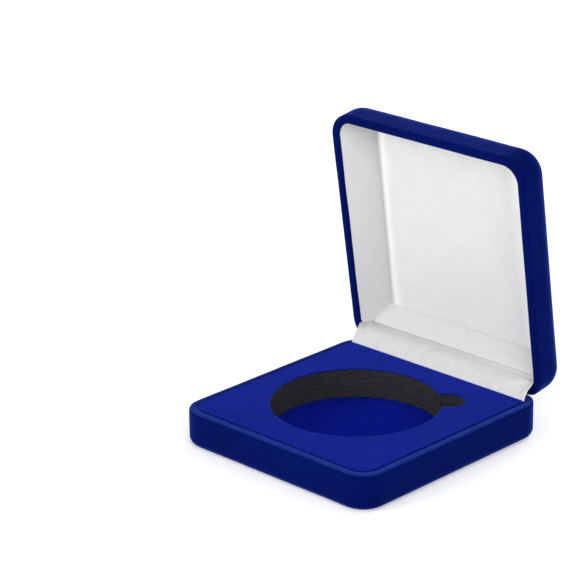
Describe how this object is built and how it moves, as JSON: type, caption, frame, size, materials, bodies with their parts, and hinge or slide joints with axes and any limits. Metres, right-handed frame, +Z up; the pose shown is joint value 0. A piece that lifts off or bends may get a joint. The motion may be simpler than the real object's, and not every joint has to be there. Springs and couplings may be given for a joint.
{
  "type": "hinged coin presentation case",
  "caption": "Square velour-covered presentation case, standing open: a foam insert with a round coin recess and thumb notch, and a satin-lined lid on a hidden pin hinge.",
  "frame": {"origin": "middle of the base's underside, where the case stands", "axes": "+X along the hinge, to the right seen from the opening front; +Y from the front of the case to its hinge; +Z up. The rest pose is the lid fully open."},
  "size_m": [0.096, 0.1126, 0.1129],
  "materials": {
    "velour": "matte",
    "insert_velour": "matte",
    "recess_velour": "matte",
    "foam": "matte",
    "satin": "satin",
    "card": "matte",
    "moulding": "matte",
    "steel": "satin"
  },
  "bodies": {
    "base": {"base_velour_cover": "velour", "base_shell": "moulding", "recess_floor": "recess_velour", "insert_foam": "foam", "insert_velour_top": "insert_velour", "base_hinge_leaf": "steel", "base_rivet_left": "steel", "base_rivet_right": "steel", "hinge_pin": "steel", "hinge_spring": "steel", "hinge_gusset": "satin"},
    "lid": {"lid_velour_cover": "velour", "lid_shell": "moulding", "lid_backing_card": "card", "lid_pad": "satin", "lid_lining_left": "satin", "lid_lining_right": "satin", "lid_lining_front": "satin", "lid_lining_rear": "satin", "lid_hinge_leaf": "steel", "lid_rivet_left": "steel", "lid_rivet_right": "steel"}
  },
  "joints": [
    {"name": "lid_hinge", "type": "hinge", "parent": "base", "child": "lid", "pos_m": [0, 0.04799, 0.01489], "axis": [1, 0, 0], "range_deg": [0, 81.6], "deforming": ["hinge_gusset", "hinge_spring"]}
  ]
}
